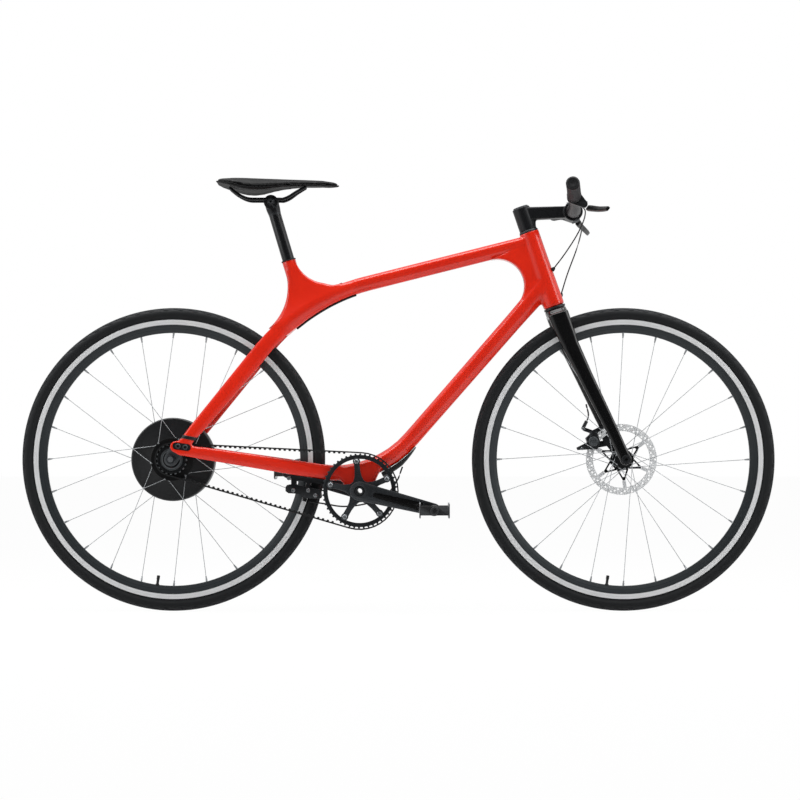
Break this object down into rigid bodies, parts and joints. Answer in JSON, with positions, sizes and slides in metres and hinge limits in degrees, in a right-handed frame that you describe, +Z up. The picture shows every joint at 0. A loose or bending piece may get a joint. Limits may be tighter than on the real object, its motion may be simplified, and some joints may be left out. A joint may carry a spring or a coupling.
{
  "type": "electric bicycle",
  "caption": "Electric bicycle with a moulded frame whose top tube sweeps into the seat stays, a rear hub motor, a toothed belt drive and a flat handlebar",
  "frame": {"origin": "the top of the saddle above the saddle clamp, where the rider sits", "axes": "+X forward, +Y to the rider's left, +Z up"},
  "size_m": [1.684, 0.5928, 0.9664],
  "materials": {
    "red_paint": "gloss",
    "black_plastic": "satin",
    "black_metal": "satin",
    "saddle_cover": "matt",
    "grey_metal": "anodised",
    "bright_steel": "machined",
    "brake_rubber": "matt",
    "cable_sheath": "satin",
    "tyre_rubber": "matt",
    "grip_rubber": "matt",
    "pedal_plastic": "satin"
  },
  "bodies": {
    "frame": {"frame": "red_paint", "bottom_cover": "black_plastic", "bottom_bracket": "black_metal", "headset_cups": "black_metal", "seatpost": "black_metal", "saddle_clamp": "black_metal", "saddle_rails": "black_metal", "saddle": "saddle_cover", "dropout_plates": "grey_metal", "rear_axle": "bright_steel", "rear_brake": "black_metal", "rear_brake_pads": "brake_rubber", "rear_brake_cable": "cable_sheath", "drive_belt": "brake_rubber", "upper_cables": "cable_sheath"},
    "steering": {"fork": "black_metal", "steerer": "black_metal", "stem": "black_metal", "stem_faceplate": "black_metal", "handlebar": "black_metal", "grips": "grip_rubber", "lever_mounts": "black_metal", "lever_blades": "black_metal", "front_caliper": "black_metal", "caliper_adapter": "black_metal", "front_axle": "black_metal", "front_brake_cable": "cable_sheath"},
    "front_wheel": {"front_tyre": "tyre_rubber", "front_rim": "black_metal", "front_spokes": "black_metal", "front_hub": "black_metal", "rotor_spider": "black_metal", "rotor_ring": "bright_steel"},
    "rear_wheel": {"rear_tyre": "tyre_rubber", "rear_rim": "black_metal", "rear_spokes": "black_metal", "motor_hub": "black_metal"},
    "sprocket": {"rear_sprocket": "bright_steel"},
    "crankset": {"spindle": "bright_steel", "right_crank": "black_metal", "chainring": "grey_metal", "left_crank": "black_metal", "pedal_axles": "bright_steel"},
    "right_pedal": {"right_pedal": "pedal_plastic"},
    "left_pedal": {"left_pedal": "pedal_plastic"}
  },
  "joints": [
    {"name": "steer", "type": "hinge", "parent": "frame", "child": "steering", "pos_m": [0.63328, 0, -0.28587], "axis": [-0.3223, 0, 0.9466], "range_deg": [-70, 70], "deforming": ["upper_cables"]},
    {"name": "front_wheel_spin", "type": "hinge", "parent": "steering", "child": "front_wheel", "pos_m": [0.78757, 0, -0.62737], "axis": [0, 1, 0], "continuous": true},
    {"name": "rear_wheel_spin", "type": "hinge", "parent": "frame", "child": "rear_wheel", "pos_m": [-0.21843, 0, -0.62737], "axis": [0, 1, 0], "continuous": true},
    {"name": "crank_spin", "type": "hinge", "parent": "frame", "child": "crankset", "pos_m": [0.19857, 0, -0.69737], "axis": [0, 1, 0], "continuous": true},
    {"name": "sprocket_spin", "type": "hinge", "parent": "frame", "child": "sprocket", "pos_m": [-0.21843, 0, -0.62737], "axis": [0, 1, 0], "continuous": true},
    {"name": "right_pedal_spin", "type": "hinge", "parent": "crankset", "child": "right_pedal", "pos_m": [0.36352, -0.11, -0.7385], "axis": [0, 1, 0], "continuous": true},
    {"name": "left_pedal_spin", "type": "hinge", "parent": "crankset", "child": "left_pedal", "pos_m": [0.03362, 0.11, -0.65625], "axis": [0, 1, 0], "continuous": true}
  ],
  "couplings": [
    {"joint": "sprocket_spin", "follows": "crank_spin", "ratio": 2.4}
  ]
}
